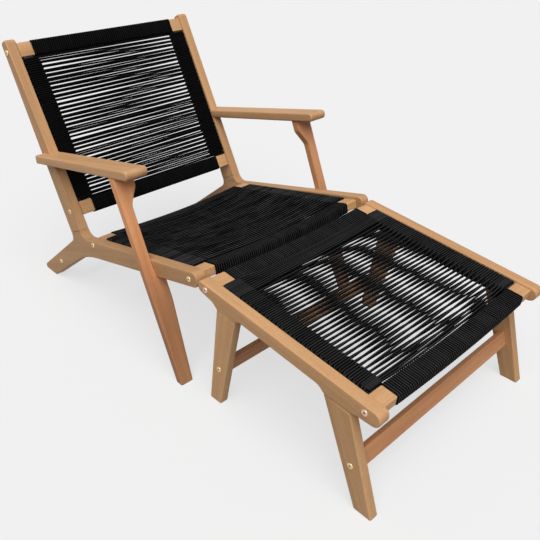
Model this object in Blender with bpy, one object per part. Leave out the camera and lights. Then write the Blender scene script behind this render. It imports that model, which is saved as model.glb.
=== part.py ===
"""Lounge chair with a separate footrest: bent-look wooden sides and three cord-wound panels.

Metres, +Z up, the front faces -Y. Side shapes are worked out in (y, z) with y from the footrest's
front feet; the whole assembly is then moved so that its origin is the bottom centre of its bounds.
"""
import math

import bmesh
import bpy
from mathutils import Matrix, Vector
from mathutils.kdtree import KDTree

# Driving dimensions: fits and edges
GAP = 0.0003
EDGE_ROUND = 0.003
ARC_STEP = math.radians(20)
ARC_TOLERANCE = 0.0002
ARC_SHARE = 0.95
FOOT_ROUND = 0.002
BAR_CHAMFER = 0.002
CUT_MARGIN = 0.1

# Driving dimensions: widths across X
CLEAR_WIDTH = 0.576
SIDE_THICKNESS = 0.030
FOOTREST_LEG_THICKNESS = 0.024
ARM_WIDTH = 0.062
ARM_OVERHANG = 0.002

# Driving dimensions: footrest side
FOOTREST_NOSE_SETBACK = 0.002
FOOTREST_TAIL_MARGIN = 0.0106
FOOTREST_TAIL_DROP = 0.0111
FOOTREST_SLOPE = math.radians(6.617)
FOOTREST_RAIL_DEPTH = 0.037
FOOTREST_NOSE_DEPTH = 0.035
FOOTREST_TAIL_DEPTH = 0.030
FOOTREST_PAD_DEPTH = 0.0485
FOOTREST_PAD_FLARE = 0.015
FOOTREST_NOSE_ROUNDS = (0.015, 0.018)
FOOTREST_TAIL_ROUND = 0.013
FOOTREST_PAD_ROUNDS = {"nose": 0.012, "front": 0.025, "rear": 0.012, "tail": 0.015}
FOOTREST_FRONT_FOOT = 0.047
FOOTREST_FRONT_LEANS = (math.radians(16.28), math.radians(20.30))
FOOTREST_REAR_FOOT_SETBACK = 0.054
FOOTREST_REAR_FOOT = 0.041
FOOTREST_REAR_LEANS = (math.radians(-14.36), math.radians(-9.93))
FOOTREST_STRETCHER_HEIGHT = 0.118

# Driving dimensions: chair side
CHAIR_CLEARANCE = 0.003
SEAT_FRONT_HEIGHT = 0.3665
SEAT_SLOPE = math.radians(12.134)
SEAT_NOSE_DEPTH = 0.0416
SEAT_NOSE_ROUNDS = (0.017, 0.019)
SEAT_UNDERSIDE_SLOPE = math.radians(13.734)
SEAT_CROTCH_MARGIN = 0.0441
SEAT_CROTCH_ROUND = 0.030
UNDERSIDE_BEND_ROUND = 0.400
POST_LEAN = math.radians(26.037)
POST_JOINT_RISE = 0.0255
POST_JOINT_DEPTH = 0.0689
POST_TOP_DEPTH = 0.035
POST_TOP_MARGIN = 0.0125
POST_TOP_ROUNDS = (0.011, 0.010)
REAR_CROTCH_DROP = 0.0205
REAR_CROTCH_ROUND = 0.025
REAR_LEG_TOP_SLOPE = math.radians(36.13)
REAR_LEG_UNDERSIDE_SLOPE = math.radians(34.684)
REAR_FOOT_RUN = 0.0926
REAR_FOOT_ROUNDS = (0.010, 0.003)
REAR_STRETCHER_HEIGHT = 0.0842

# Driving dimensions: armrest and front leg
ARM_NOSE_SETBACK = 0.207
ARM_FRONT_HEIGHT = 0.5685
ARM_SLOPE = math.radians(10.315)
ARM_THICKNESS = 0.025
ARM_TAIL_REACH = 0.036
ARM_NOSE_ROUND = 0.011
ARM_TAIL_ROUND = 0.003
ARM_EDGE_ROUND = 0.004
LEG_SETBACK = 0.068
LEG_LEAN = math.radians(21.107)
LEG_THICKNESS = 0.0233
LEG_INSET = 0.006
LEG_STEP_RISE = 0.020
LEG_TAPER_HEIGHT = 0.215
LEG_TAPER_ROUND = 0.150
LEG_FOOT_INSET = 0.019
LEG_FLARE_DROPS = (0.028, 0.069)
LEG_FLARE_ROUNDS = (0.022, 0.030)
LEG_OVERRUN = 0.030

# Driving dimensions: cord panels and fasteners
PANEL_LENGTH = 0.520
PANEL_RAIL_WIDTH = 0.041
PANEL_RAIL_DEPTH = 0.025
STILE_WIDTH = 0.032
STILE_THICKNESS = 0.020
STILE_RECESS = 0.001
STILE_CHAMFER = 0.005
TENON_WIDTH = 0.018
TENON_THICKNESS = 0.009
TENON_LENGTH = 0.013
CORD_RADIUS = 0.0025
CORD_LOOPS = 21
SEAT_SAG = 0.016
FOOTREST_SAG = 0.006
RAIL_DISH = 0.010
RAIL_DISH_STEPS = 8
RAIL_REBATE = 0.0024
RAIL_CORE_BITE = 0.003
RAIL_BOLT_DEPTH = 0.011
WRAP_RIBS = 10
WRAP_GROOVE = 0.0022
FOOTREST_PANEL_SETBACK = 0.014
FOOTREST_PANEL_RECESS = 0.004
SEAT_PANEL_SETBACK = 0.022
SEAT_PANEL_RECESSES = (0.0095, 0.0)
SEAT_FRONT_BOLT_SHIFT = -0.009
BACK_PANEL_RISE = 0.067
BACK_PANEL_RECESS = 0.0038
STRETCHER_HEIGHT = 0.040
STRETCHER_DEPTH = 0.018
BOLT_RADIUS = 0.003
BOLT_HEAD_RADIUS = 0.0078
BOLT_HEAD_HEIGHT = 0.0022
BOLT_HEAD_FLAT = 0.0067
BOLT_HEAD_RIM = 0.0012
BOLT_GRIP = 0.040
BOLT_END_ROOM = 0.002
BOLT_SOCKET_RADIUS = 0.0029
BOLT_SOCKET_DEPTH = 0.0018

# Values that follow from the driving dimensions
INNER_X = CLEAR_WIDTH / 2
OUTER_X = INNER_X + SIDE_THICKNESS
ARM_INNER_X = INNER_X - ARM_OVERHANG
ARM_OUTER_X = ARM_INNER_X + ARM_WIDTH
FOOTREST_LEG_INNER_X = OUTER_X - FOOTREST_LEG_THICKNESS
STILE_OUTER_X = INNER_X - 3 * GAP - 2 * CORD_RADIUS
STILE_INNER_X = STILE_OUTER_X - STILE_WIDTH
WRAP_HALF = STILE_INNER_X - 2 * CORD_RADIUS
SIDES = (("left", -1), ("right", 1))
WOOD = (0.62, 0.38, 0.19, 1.0)
CORD = (0.012, 0.013, 0.014, 1.0)
BRASS = (0.60, 0.42, 0.18, 1.0)


# Flat geometry in the side view: a point is (y, z), a line is a point and a direction
def line(y, z, dy, dz):
    return Vector((y, z)), Vector((dy, dz)).normalized()


def sloping(y, z, angle):
    """Line that rises towards the rear by an angle."""
    return line(y, z, math.cos(angle), math.sin(angle))


def leaning(y, z, angle):
    """Line that goes up and leans to the rear by an angle."""
    return line(y, z, math.sin(angle), math.cos(angle))


def upright(y):
    return leaning(y, 0, 0)


def along(a_line, distance):
    point, direction = a_line
    return point + direction * distance


def meet(first, second):
    """Point where two lines cross."""
    p, d = first
    q, e = second
    share = (q - p).cross(e) / d.cross(e)
    return p + d * share


def shifted(a_line, offset):
    """The line moved sideways to its left by an offset."""
    point, direction = a_line
    return point + Vector((-direction.y, direction.x)) * offset, direction


def rounded(corners):
    """Outline points for corners given as (point, radius), each corner turned into an arc.

    Two arcs that share an edge too short for both are made smaller until they fit on it.
    """
    outline = []
    count = len(corners)
    edges = [corners[(index + 1) % count][0] - corners[index][0] for index in range(count)]
    half_angles = [(-edges[index - 1]).angle(edges[index]) / 2 for index in range(count)]
    reaches = [radius / math.tan(half) for (_, radius), half in zip(corners, half_angles)]
    for index, (corner, radius) in enumerate(corners):
        if radius == 0:
            outline.append(corner.copy())
            continue
        half_angle = half_angles[index]
        room_before = edges[index - 1].length / (reaches[index - 1] + reaches[index])
        room_after = edges[index].length / (reaches[index] + reaches[(index + 1) % count])
        radius *= min(1, ARC_SHARE * room_before, ARC_SHARE * room_after)
        before = -edges[index - 1].normalized()
        after = edges[index].normalized()
        turn = math.pi - 2 * half_angle
        centre = corner + (before + after).normalized() * radius / math.sin(half_angle)
        start = corner + before * radius / math.tan(half_angle) - centre
        sign = 1 if before.cross(after) < 0 else -1
        finest = 2 * math.acos(1 - min(1, ARC_TOLERANCE / radius))
        steps = max(2, math.ceil(turn / min(ARC_STEP, finest)))
        for step in range(steps + 1):
            swing = Matrix.Rotation(sign * turn * step / steps, 2)
            outline.append(centre + swing @ start)
    return outline


# Scene set-up
for old in list(bpy.data.objects):
    bpy.data.objects.remove(old)
parts = bpy.data.collections.new("lounge_chair")
cutters = bpy.data.collections.new("cutters")
bpy.context.scene.collection.children.link(parts)
bpy.context.scene.collection.children.link(cutters)


def material(name, colour, roughness, metallic):
    made = bpy.data.materials.new(name)
    made.use_nodes = True
    shader = made.node_tree.nodes["Principled BSDF"]
    shader.inputs["Base Color"].default_value = colour
    shader.inputs["Roughness"].default_value = roughness
    shader.inputs["Metallic"].default_value = metallic
    made.diffuse_color = colour
    return made


wood = material("wood", WOOD, 0.5, 0.0)
cord = material("cord", CORD, 0.8, 0.0)
brass = material("brass", BRASS, 0.35, 1.0)


def add_part(name, mesh, body, slot):
    """Puts a mesh in the assembly as one named piece of a body."""
    made = bpy.data.objects.new(name, mesh)
    if not mesh.materials:
        mesh.materials.append(slot)
    made.parent = body
    parts.objects.link(made)
    return made


def add_cutter(name, mesh, body):
    made = bpy.data.objects.new(name, mesh)
    made.parent = body
    made.display_type = "WIRE"
    made.hide_render = True
    cutters.objects.link(made)
    return made


def cut(piece, cutter, operation="DIFFERENCE"):
    modifier = piece.modifiers.new(cutter.name, "BOOLEAN")
    modifier.operation = operation
    modifier.solver = "EXACT"
    modifier.object = cutter


def mesh_from(name, maker):
    """Mesh filled in by a function that is given an empty bmesh."""
    mesh = bpy.data.meshes.new(name)
    shape = bmesh.new()
    maker(shape)
    bmesh.ops.recalc_face_normals(shape, faces=shape.faces)
    shape.to_mesh(mesh)
    shape.free()
    return mesh


def mesh_from_curve(name, curve, frame):
    """Closed mesh of a curve, its caps welded on, in the place given by a frame."""
    holder = bpy.data.objects.new(name, curve)
    bpy.context.scene.collection.objects.link(holder)
    depsgraph = bpy.context.evaluated_depsgraph_get()
    mesh = bpy.data.meshes.new_from_object(holder.evaluated_get(depsgraph))
    bpy.data.objects.remove(holder)
    shape = bmesh.new()
    shape.from_mesh(mesh)
    bmesh.ops.remove_doubles(shape, verts=shape.verts, dist=1e-6)
    bmesh.ops.transform(shape, matrix=frame, verts=shape.verts)
    bmesh.ops.recalc_face_normals(shape, faces=shape.faces)
    shape.to_mesh(mesh)
    shape.free()
    mesh.name = name
    mesh.materials.clear()
    return mesh


def board_mesh(name, outline, thickness, frame, edge=EDGE_ROUND):
    """A flat outline with thickness and rounded edges, centred on the plane of its frame."""
    curve = bpy.data.curves.new(name, "CURVE")
    curve.dimensions = "2D"
    curve.fill_mode = "BOTH"
    curve.extrude = thickness / 2 - edge
    curve.bevel_depth = edge
    curve.bevel_resolution = 1
    curve.offset = -edge
    spline = curve.splines.new("POLY")
    spline.points.add(len(outline) - 1)
    for point, (u, v) in zip(spline.points, outline):
        point.co = (u, v, 0, 1)
    spline.use_cyclic_u = True
    return mesh_from_curve(name, curve, frame)


def side_frame_at(x):
    """Frame whose flat plane is the side view at one x."""
    return Matrix(((0, 0, 1, x), (1, 0, 0, 0), (0, 1, 0, 0), (0, 0, 0, 1)))


def lying_frame(a_line):
    """Frame with X across, Y along a side-view line and Z to the line's left."""
    (y, z), (dy, dz) = a_line
    return Matrix(((1, 0, 0, 0), (0, dy, -dz, y), (0, dz, dy, z), (0, 0, 0, 1)))


def block_mesh(name, low, high, frame, chamfer=0.0, lengthwise=None):
    """A box between two corners of a frame, chamfered on all edges or on those along one axis."""
    def fill(shape):
        made = bmesh.ops.create_cube(shape, size=1.0)
        size = Vector(high) - Vector(low)
        middle = (Vector(high) + Vector(low)) / 2
        bmesh.ops.scale(shape, vec=size, verts=made["verts"])
        bmesh.ops.translate(shape, vec=middle, verts=made["verts"])
        if chamfer:
            edges = list(shape.edges)
            if lengthwise is not None:
                edges = [e for e in edges if abs((e.verts[0].co - e.verts[1].co)[lengthwise]) > chamfer]
            bmesh.ops.bevel(shape, geom=edges, offset=chamfer, segments=1, affect="EDGES")
        bmesh.ops.transform(shape, matrix=frame, verts=shape.verts)
    return mesh_from(name, fill)


def turned_mesh(name, profile, steps):
    """A solid of revolution about X from (x, radius) points that start and end on the axis."""
    def fill(shape):
        verts = [shape.verts.new((x, radius, 0)) for x, radius in profile]
        edges = [shape.edges.new(pair) for pair in zip(verts, verts[1:])]
        bmesh.ops.spin(shape, geom=verts + edges, cent=(0, 0, 0), axis=(1, 0, 0),
                       angle=2 * math.pi, steps=steps)
        bmesh.ops.remove_doubles(shape, verts=shape.verts, dist=1e-6)
    return mesh_from(name, fill)


# Side-view lines and joints of the footrest
footrest_nose = FOOTREST_NOSE_SETBACK
footrest_run = FOOTREST_PANEL_SETBACK + PANEL_LENGTH + FOOTREST_TAIL_MARGIN
footrest_rise = footrest_run * math.sin(FOOTREST_SLOPE)
footrest_nose_height = SEAT_FRONT_HEIGHT - FOOTREST_TAIL_DROP - footrest_rise
footrest_top = sloping(footrest_nose, footrest_nose_height, FOOTREST_SLOPE)
footrest_underside = sloping(footrest_nose, footrest_nose_height - FOOTREST_RAIL_DEPTH, FOOTREST_SLOPE)
footrest_pad = sloping(footrest_nose, footrest_nose_height - FOOTREST_PAD_DEPTH, FOOTREST_SLOPE)
footrest_tail = along(footrest_top, footrest_run).x
footrest_rear_foot = footrest_tail - FOOTREST_REAR_FOOT_SETBACK
leg_edges = {
    "front": (leaning(0, 0, FOOTREST_FRONT_LEANS[0]),
              leaning(FOOTREST_FRONT_FOOT, 0, FOOTREST_FRONT_LEANS[1])),
    "rear": (leaning(footrest_rear_foot, 0, FOOTREST_REAR_LEANS[0]),
             leaning(footrest_rear_foot + FOOTREST_REAR_FOOT, 0, FOOTREST_REAR_LEANS[1])),
}


# Side-view lines and joints of the chair
chair_nose = footrest_tail + CHAIR_CLEARANCE
seat_top = sloping(chair_nose, SEAT_FRONT_HEIGHT, -SEAT_SLOPE)
seat_underside = sloping(chair_nose, SEAT_FRONT_HEIGHT - SEAT_NOSE_DEPTH, -SEAT_UNDERSIDE_SLOPE)
floor = sloping(0, 0, 0)
crotch = along(seat_top, SEAT_PANEL_SETBACK + PANEL_LENGTH + SEAT_CROTCH_MARGIN)
post_front = leaning(*crotch, POST_LEAN)
post_length = BACK_PANEL_RISE + PANEL_LENGTH + POST_TOP_MARGIN - POST_JOINT_RISE
post_across = Vector((post_front[1].y, -post_front[1].x))
joint_front = along(post_front, POST_JOINT_RISE)
joint_rear = joint_front + post_across * POST_JOINT_DEPTH
post_top_front = along(post_front, POST_JOINT_RISE + post_length)
post_top_rear = post_top_front + post_across * POST_TOP_DEPTH
post_rear_down = (joint_rear - post_top_rear).normalized()
rear_crotch = joint_rear + post_rear_down * REAR_CROTCH_DROP
rear_leg_top = sloping(*rear_crotch, -REAR_LEG_TOP_SLOPE)
rear_foot_tip = meet(rear_leg_top, floor)
rear_foot_front = rear_foot_tip - Vector((REAR_FOOT_RUN, 0))
rear_leg_underside = sloping(*rear_foot_front, -REAR_LEG_UNDERSIDE_SLOPE)
underside_bend = meet(seat_underside, rear_leg_underside)
arm_nose = chair_nose + ARM_NOSE_SETBACK
arm_top = sloping(arm_nose, ARM_FRONT_HEIGHT, -ARM_SLOPE)
arm_tail = meet(arm_top, post_front).x + ARM_TAIL_REACH
arm_underside = shifted(arm_top, -ARM_THICKNESS)
leg_front = leaning(chair_nose + LEG_SETBACK, 0, LEG_LEAN)

side_outline = rounded([
    (meet(seat_top, upright(chair_nose)), SEAT_NOSE_ROUNDS[0]),
    (crotch, SEAT_CROTCH_ROUND),
    (joint_front, 0),
    (joint_rear, 0),
    (rear_crotch, REAR_CROTCH_ROUND),
    (rear_foot_tip, REAR_FOOT_ROUNDS[0]),
    (rear_foot_front, REAR_FOOT_ROUNDS[1]),
    (underside_bend, UNDERSIDE_BEND_ROUND),
    (meet(seat_underside, upright(chair_nose)), SEAT_NOSE_ROUNDS[1]),
])
pad_corners = {end: [meet(footrest_pad, edge) for edge in edges] for end, edges in leg_edges.items()}
nose_underside = sloping(footrest_nose, footrest_nose_height - FOOTREST_NOSE_DEPTH, 0)
tail_top = meet(footrest_top, upright(footrest_tail))
pad_flares = {
    "nose": meet(nose_underside, upright(pad_corners["front"][0].x - FOOTREST_PAD_FLARE)),
    "front": meet(footrest_underside, upright(pad_corners["front"][1].x + FOOTREST_PAD_FLARE)),
    "rear": meet(footrest_underside, upright(pad_corners["rear"][0].x - FOOTREST_PAD_FLARE)),
    "tail": meet(footrest_underside, upright(pad_corners["rear"][1].x + FOOTREST_PAD_FLARE)),
}
footrest_rail_outline = rounded([
    (meet(footrest_top, upright(footrest_nose)), FOOTREST_NOSE_ROUNDS[0]),
    (tail_top, FOOTREST_TAIL_ROUND),
    (tail_top - Vector((0, FOOTREST_TAIL_DEPTH)), FOOTREST_TAIL_ROUND),
    (pad_flares["tail"], FOOTREST_PAD_ROUNDS["tail"]),
    (pad_corners["rear"][1], 0),
    (pad_corners["rear"][0], 0),
    (pad_flares["rear"], FOOTREST_PAD_ROUNDS["rear"]),
    (pad_flares["front"], FOOTREST_PAD_ROUNDS["front"]),
    (pad_corners["front"][1], 0),
    (pad_corners["front"][0], 0),
    (pad_flares["nose"], FOOTREST_PAD_ROUNDS["nose"]),
    (meet(nose_underside, upright(footrest_nose)), FOOTREST_NOSE_ROUNDS[1]),
])
leg_outlines = {}
pad_cut = shifted(footrest_pad, -GAP)
for end, (front_edge, rear_edge) in leg_edges.items():
    leg_outlines[end] = rounded([
        (meet(front_edge, floor), FOOT_ROUND),
        (meet(front_edge, pad_cut), 0),
        (meet(rear_edge, pad_cut), 0),
        (meet(rear_edge, floor), FOOT_ROUND),
    ])

overall_front = min(point.x for point in leg_outlines["front"] + footrest_rail_outline)
overall_rear = max(point.x for point in side_outline)

# The two bodies: the footrest slides along Y on its own empty
origin_shift = Vector((0, -(overall_front + overall_rear) / 2, 0))
chair = bpy.data.objects.new("chair", None)
footrest = bpy.data.objects.new("footrest", None)
for body in (chair, footrest):
    body.location = origin_shift
    parts.objects.link(body)


# Bolts
def bolt_profile():
    end = -(SIDE_THICKNESS + BOLT_GRIP)
    return [(BOLT_HEAD_HEIGHT, 0), (BOLT_HEAD_HEIGHT, BOLT_HEAD_FLAT),
            (BOLT_HEAD_RIM, BOLT_HEAD_RADIUS), (0, BOLT_HEAD_RADIUS),
            (0, BOLT_RADIUS), (end, BOLT_RADIUS), (end, 0)]


def hexagon(shape):
    made = bmesh.ops.create_cone(shape, cap_ends=True, segments=6, radius1=BOLT_SOCKET_RADIUS,
                                 radius2=BOLT_SOCKET_RADIUS, depth=2 * BOLT_SOCKET_DEPTH)
    place = Matrix.Translation((BOLT_HEAD_HEIGHT, 0, 0)) @ Matrix.Rotation(math.pi / 2, 4, "Y")
    bmesh.ops.transform(shape, matrix=place, verts=made["verts"])


def bolt_mesh():
    """One bolt with its socket, head outwards along X, its seat at the origin."""
    socket = bpy.data.objects.new("bolt_socket", mesh_from("bolt_socket", hexagon))
    bolt = bpy.data.objects.new("bolt", turned_mesh("bolt", bolt_profile(), 12))
    for thing in (socket, bolt):
        bpy.context.scene.collection.objects.link(thing)
    cut(bolt, socket)
    depsgraph = bpy.context.evaluated_depsgraph_get()
    mesh = bpy.data.meshes.new_from_object(bolt.evaluated_get(depsgraph))
    bpy.data.objects.remove(bolt)
    bpy.data.objects.remove(socket)
    mesh.materials.clear()
    mesh.materials.append(brass)
    return mesh


shared_bolt = bolt_mesh()


def bolt_hole(shape):
    inner_end = -(SIDE_THICKNESS + BOLT_GRIP + BOLT_END_ROOM)
    outer_end = BOLT_HEAD_HEIGHT
    made = bmesh.ops.create_cone(shape, cap_ends=True, segments=12, radius1=BOLT_RADIUS + GAP,
                                 radius2=BOLT_RADIUS + GAP, depth=outer_end - inner_end)
    place = Matrix.Translation(((outer_end + inner_end) / 2, 0, 0)) @ Matrix.Rotation(math.pi / 2, 4, "Y")
    bmesh.ops.transform(shape, matrix=place, verts=made["verts"])


shared_hole = mesh_from("bolt_hole", bolt_hole)


def fasten(name, point, side_pieces, bar, body):
    """A bolt on each side through a side piece into the end of a cross bar."""
    for side, sign in SIDES:
        turn = Matrix.Rotation(0 if sign > 0 else math.pi, 4, "Z")
        place = Matrix.Translation((sign * (OUTER_X + GAP), point.x, point.y)) @ turn
        bolt = add_part(name + "_bolt_" + side, shared_bolt, body, brass)
        bolt.matrix_local = place
        hole = add_cutter(name + "_hole_" + side, shared_hole, body)
        hole.matrix_local = place
        cut(side_pieces[side], hole)
        cut(bar, hole)


# Side boards
def pair_of_boards(name, outline, thickness, middle_x, body):
    made = {}
    for side, sign in SIDES:
        mesh = board_mesh(name, outline, thickness, side_frame_at(sign * middle_x))
        made[side] = add_part(name + "_" + side, mesh, body, wood)
    return made


side_middle_x = (INNER_X + OUTER_X) / 2
side_frames = pair_of_boards("side_frame", side_outline, SIDE_THICKNESS, side_middle_x, chair)

post_foot_front = along(post_front, POST_JOINT_RISE + GAP)
post_foot_rear = joint_rear - post_rear_down * GAP
post_outline = rounded([
    (post_foot_front, 0),
    (post_foot_rear, 0),
    (post_top_rear, POST_TOP_ROUNDS[1]),
    (post_top_front, POST_TOP_ROUNDS[0]),
])
back_posts = pair_of_boards("back_post", post_outline, SIDE_THICKNESS, side_middle_x, chair)

footrest_rails = pair_of_boards("footrest_side_rail", footrest_rail_outline, SIDE_THICKNESS,
                                side_middle_x, footrest)

footrest_legs = {}
for end, leg_outline in leg_outlines.items():
    footrest_legs[end] = pair_of_boards("footrest_" + end + "_leg", leg_outline, FOOTREST_LEG_THICKNESS,
                                        OUTER_X - FOOTREST_LEG_THICKNESS / 2, footrest)


# Armrests, each notched round its post
arm_outline = rounded([
    (meet(arm_top, upright(arm_nose)), ARM_NOSE_ROUND),
    (meet(arm_underside, upright(arm_nose)), ARM_NOSE_ROUND),
    (meet(arm_underside, upright(arm_tail)), ARM_TAIL_ROUND),
    (meet(arm_top, upright(arm_tail)), ARM_TAIL_ROUND),
])
notch_frame = lying_frame(shifted(post_front, GAP))
for side, sign in SIDES:
    arm_middle_x = sign * (ARM_INNER_X + ARM_OUTER_X) / 2
    mesh = board_mesh("armrest", arm_outline, ARM_WIDTH, side_frame_at(arm_middle_x), ARM_EDGE_ROUND)
    armrest = add_part("armrest_" + side, mesh, chair, wood)
    notch_xs = sorted((sign * (OUTER_X + GAP), sign * (ARM_INNER_X - CUT_MARGIN)))
    notch = block_mesh("arm_notch", (notch_xs[0], 0, -CUT_MARGIN),
                       (notch_xs[1], post_length, 0), notch_frame)
    cut(armrest, add_cutter("arm_notch_" + side, notch, chair))


# Front legs: leaning boards, cut to the floor, the armrest and the side frame's underside
leg_middle = shifted(leg_front, -LEG_THICKNESS / 2)
leg_upper_x = OUTER_X + GAP
leg_inner_x = ARM_INNER_X + LEG_INSET
arm_meets_leg = meet(arm_underside, leg_front).y
step_height = meet(seat_underside, leg_front).y + LEG_STEP_RISE
flare_top = arm_meets_leg - LEG_FLARE_DROPS[0]
flare_bottom = arm_meets_leg - LEG_FLARE_DROPS[1]


def on_leg(x, height, overrun=0.0):
    """Point of the leg's face at a height, measured up the leaning face."""
    return Vector((x, height / leg_front[1].y + overrun))


leg_plan = rounded([
    (on_leg(ARM_OUTER_X, 0, -LEG_OVERRUN), 0),
    (on_leg(ARM_OUTER_X, arm_meets_leg, LEG_OVERRUN), 0),
    (on_leg(leg_inner_x, arm_meets_leg, LEG_OVERRUN), 0),
    (on_leg(leg_inner_x, flare_top), LEG_FLARE_ROUNDS[0]),
    (on_leg(leg_upper_x, flare_bottom), LEG_FLARE_ROUNDS[1]),
    (on_leg(leg_upper_x, step_height), 0),
    (on_leg(leg_inner_x, step_height), 0),
    (on_leg(leg_inner_x, LEG_TAPER_HEIGHT), LEG_TAPER_ROUND),
    (on_leg(leg_inner_x + LEG_FOOT_INSET, 0), 0),
    (on_leg(leg_inner_x + LEG_FOOT_INSET, 0, -LEG_OVERRUN), 0),
])
cut_x = ARM_OUTER_X + CUT_MARGIN
floor_cut_mesh = block_mesh("floor_cut", (-cut_x, chair_nose, -CUT_MARGIN), (cut_x, arm_tail, 0), Matrix())
floor_cut = add_cutter("floor_cut", floor_cut_mesh, chair)
arm_cut_mesh = block_mesh("arm_cut", (-cut_x, -CUT_MARGIN, 0), (cut_x, arm_tail - arm_nose, CUT_MARGIN),
                          lying_frame(shifted(arm_underside, -GAP)))
arm_cut = add_cutter("arm_cut", arm_cut_mesh, chair)
housing_frame = lying_frame(shifted(seat_underside, -GAP))
housing_low = LEG_SETBACK
housing_high = meet(seat_top, leg_front).x - chair_nose + CUT_MARGIN
for side, sign in SIDES:
    plan = [Vector((sign * point.x, point.y)) for point in leg_plan]
    mesh = board_mesh("front_leg", plan, LEG_THICKNESS, lying_frame(leg_middle))
    front_leg = add_part("front_leg_" + side, mesh, chair, wood)
    housing_xs = sorted((sign * leg_upper_x, sign * (INNER_X - CUT_MARGIN)))
    housing = block_mesh("leg_housing", (housing_xs[0], housing_low, 0),
                         (housing_xs[1], housing_high, SEAT_NOSE_DEPTH + LEG_STEP_RISE), housing_frame)
    cut(front_leg, floor_cut)
    cut(front_leg, arm_cut)
    cut(front_leg, add_cutter("leg_housing_" + side, housing, chair))


# Cord-wound panels
def winding_points(sag):
    """Centre line of one cord wound round both stiles, from one rail to the other.

    A cord that sags leaves each stile at the inner edge of its flat face, so its ends are lifted
    to clear it.
    """
    far = INNER_X - 2 * GAP - CORD_RADIUS
    near = far - STILE_CHAMFER - CORD_RADIUS / 2
    drop = far - near
    lift = sag * (near - STILE_INNER_X - STILE_CHAMFER) / near
    top = -STILE_RECESS + GAP + CORD_RADIUS + lift
    bottom = -STILE_RECESS - STILE_THICKNESS - GAP - CORD_RADIUS
    first = PANEL_RAIL_WIDTH + 4 * CORD_RADIUS
    pitch = (PANEL_LENGTH - 2 * first) / CORD_LOOPS
    loop = [(-far, top - drop, 0), (-near, top, 0)]
    if sag:
        loop.append((0, top - sag, 0))
    loop += [(near, top, 0), (far, top - drop, 0),
             (far, bottom + drop, 0.1), (near, bottom, 0.2), (-near, bottom, 0.8), (-far, bottom + drop, 0.9)]
    points = []
    for turn in range(CORD_LOOPS):
        points += [Vector((x, first + (turn + advance) * pitch, n)) for x, n, advance in loop]
    return points


def least_gap(points, radius):
    """Least clear distance between parts of a cord that lie apart along its length."""
    sample_step = radius
    search_radius = 10 * radius
    neighbour_length = 2 * search_radius
    samples = []
    travelled = 0.0
    for start, end in zip(points, points[1:]):
        length = (end - start).length
        count = max(1, math.ceil(length / sample_step))
        shares = [step / count for step in range(count)]
        samples += [(start.lerp(end, share), travelled + length * share) for share in shares]
        travelled += length
    tree = KDTree(len(samples))
    for index, (point, _) in enumerate(samples):
        tree.insert(point, index)
    tree.balance()
    least = math.inf
    for point, distance in samples:
        for _, index, apart in tree.find_range(point, search_radius):
            if abs(samples[index][1] - distance) > neighbour_length:
                least = min(least, apart)
    return least - 2 * radius


def wound_cord_mesh(name, points, frame):
    curve = bpy.data.curves.new(name, "CURVE")
    curve.dimensions = "3D"
    curve.bevel_depth = CORD_RADIUS
    curve.bevel_resolution = 1
    curve.use_fill_caps = True
    spline = curve.splines.new("POLY")
    spline.points.add(len(points) - 1)
    for point, place in zip(spline.points, points):
        point.co = (*place, 1)
    return mesh_from_curve(name, curve, frame)


def rail_dip(x, dish):
    """How far a dished rail's middle lies below the line between its ends."""
    return dish * (1 - min(1, (x / WRAP_HALF) ** 2))


def lofted_mesh(name, rings, frame):
    """A closed solid through rings of equally many points."""
    def fill(shape):
        loops = [[shape.verts.new(point) for point in ring] for ring in rings]
        for first, second in zip(loops, loops[1:]):
            for index in range(len(first)):
                after = (index + 1) % len(first)
                shape.faces.new((first[index], first[after], second[after], second[index]))
        shape.faces.new(loops[0])
        shape.faces.new(loops[-1])
        bmesh.ops.transform(shape, matrix=frame, verts=shape.verts)
    return mesh_from(name, fill)


def dished_bar_mesh(name, half_length, low, high, dish, frame):
    """A bar across a panel between two (t, n) corners of its section, bent down by its dish."""
    steps = RAIL_DISH_STEPS
    bends = [WRAP_HALF * (2 * step / steps - 1) for step in range(steps + 1)] if dish else []
    rings = []
    for x in (-half_length, *bends, half_length):
        y0, y1 = low[0], high[0]
        z0, z1 = low[1] - rail_dip(x, dish), high[1] - rail_dip(x, dish)
        rings.append([(x, y0, z0), (x, y1, z0), (x, y1, z1), (x, y0, z1)])
    return lofted_mesh(name, rings, frame)


def ribbed_wrap_mesh(name, low, high, dish, frame):
    """A ribbed cover of cord round a rail's core, before the core's bore is cut."""
    thickness = 2 * CORD_RADIUS
    rings = []
    for step in range(2 * WRAP_RIBS + 1):
        x = WRAP_HALF * (step / WRAP_RIBS - 1)
        dip = rail_dip(x, dish)
        swell = thickness if step % 2 else thickness - WRAP_GROOVE
        y0, y1 = low[0] - swell, high[0] + swell
        z0, z1 = low[1] - swell - dip, high[1] + swell - dip
        section = [(y0 + swell, z0), (y1 - swell, z0), (y1, z0 + swell), (y1, z1 - swell),
                   (y1 - swell, z1), (y0 + swell, z1), (y0, z1 - swell), (y0, z0 + swell)]
        rings.append([(x, y, z) for y, z in section])
    return lofted_mesh(name, rings, frame)


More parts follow.
